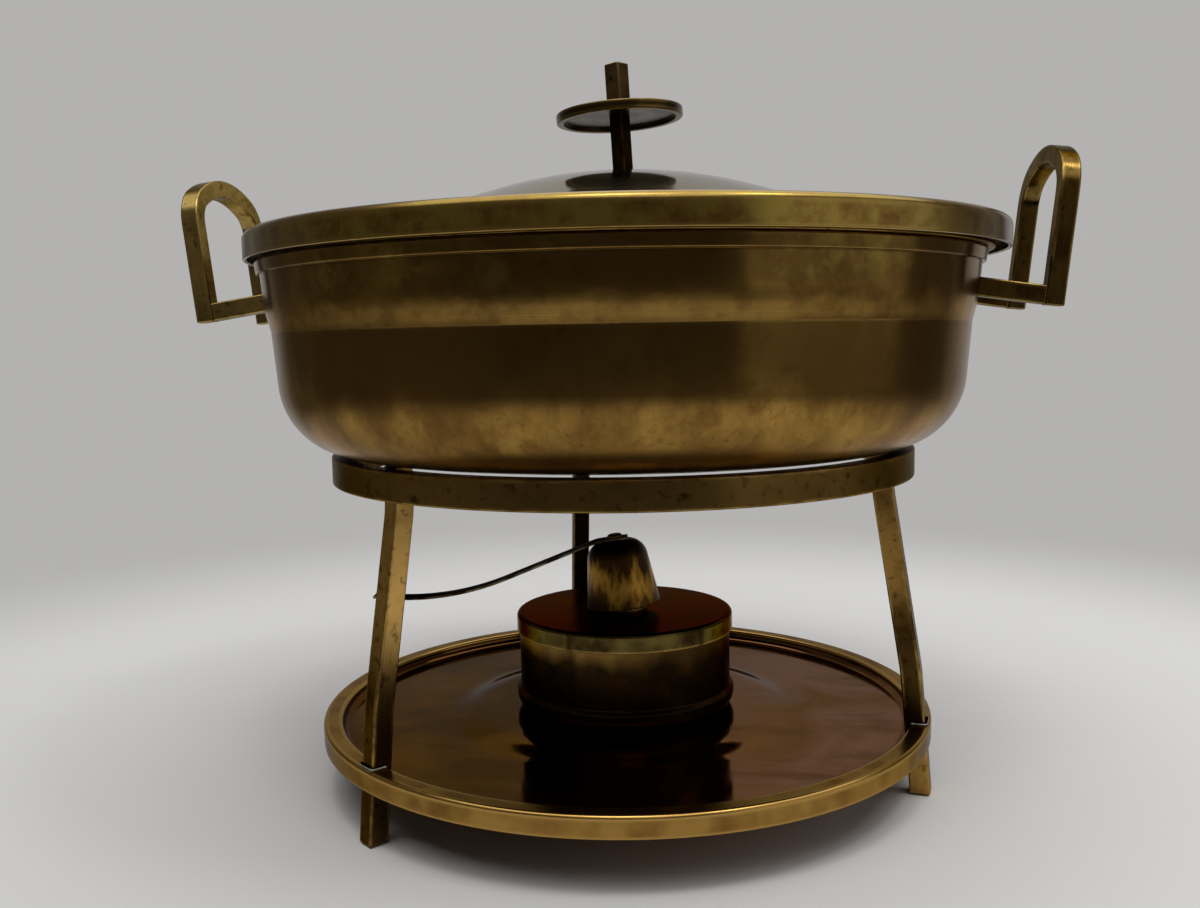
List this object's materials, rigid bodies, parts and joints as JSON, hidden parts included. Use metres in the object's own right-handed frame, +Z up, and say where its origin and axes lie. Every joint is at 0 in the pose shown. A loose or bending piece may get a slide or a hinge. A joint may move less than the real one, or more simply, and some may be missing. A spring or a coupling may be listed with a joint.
{
  "type": "chafing dish",
  "caption": "Aged brass chafing dish: round lidded pan with upright bar handles on a legged ring stand, over a tray that holds a spirit burner with a snuffer.",
  "frame": {"origin": "On the table at the middle of the footprint, under the centre of the ring and the pan", "axes": "+Z up, +X to the right along the line through the two handles, -Y the front that the picture shows"},
  "size_m": [0.306, 0.2636, 0.2544],
  "materials": {
    "polished_brass": "spun sheet brass, polished to a mirror and aged to a brown-gold tarnish",
    "spun_brass": "spun sheet brass, satin with cloudy brown tarnish",
    "bar_brass": "drawn square and flat brass bar, filed edges worn bright, brown patina on the faces",
    "sooted_brass": "sheet brass darkened by heat and soot to red-brown",
    "fixings": "turned brass screw, washer and rivets",
    "cotton": "loose cotton wadding and a woven cotton wick, charred at the top"
  },
  "bodies": {
    "stand": {"stand_ring": "bar_brass", "leg_front_left": "bar_brass", "leg_front_right": "bar_brass", "leg_rear": "bar_brass", "tray": "polished_brass"},
    "pan": {"pan_shell": "spun_brass", "right_handle_arch": "bar_brass", "left_handle_arch": "bar_brass", "right_handle_bar_front": "bar_brass", "right_handle_bar_back": "bar_brass", "left_handle_bar_front": "bar_brass", "left_handle_bar_back": "bar_brass", "handle_rivets": "fixings"},
    "lid": {"lid_shell": "polished_brass", "lid_bezel": "polished_brass", "finial_stem": "bar_brass", "finial_disc": "bar_brass", "finial_washer": "fixings", "finial_screw": "fixings"},
    "burner": {"burner_body": "sooted_brass", "burner_wadding": "cotton"},
    "cover": {"burner_cover": "sooted_brass", "wick_tube": "sooted_brass", "wick": "cotton"},
    "snuffer": {"snuffer_cap": "sooted_brass", "snuffer_handle": "bar_brass", "snuffer_rivet": "fixings"}
  },
  "joints": [
    {"name": "pan_lift", "type": "slide", "parent": "stand", "child": "pan", "axis": [0, 0, 1], "range_m": [0, 0.06]},
    {"name": "lid_lift", "type": "slide", "parent": "pan", "child": "lid", "axis": [0, 0, 1], "range_m": [0, 0.08]},
    {"name": "burner_draw", "type": "slide", "parent": "stand", "child": "burner", "axis": [-0.9836, -0.1034, 0.1478], "range_m": [0, 0.165]},
    {"name": "cover_lift", "type": "slide", "parent": "burner", "child": "cover", "axis": [0, 0, 1], "range_m": [0, 0.008]},
    {"name": "snuffer_lift", "type": "slide", "parent": "cover", "child": "snuffer", "axis": [0, 0, 1], "range_m": [0, 0.02]}
  ]
}
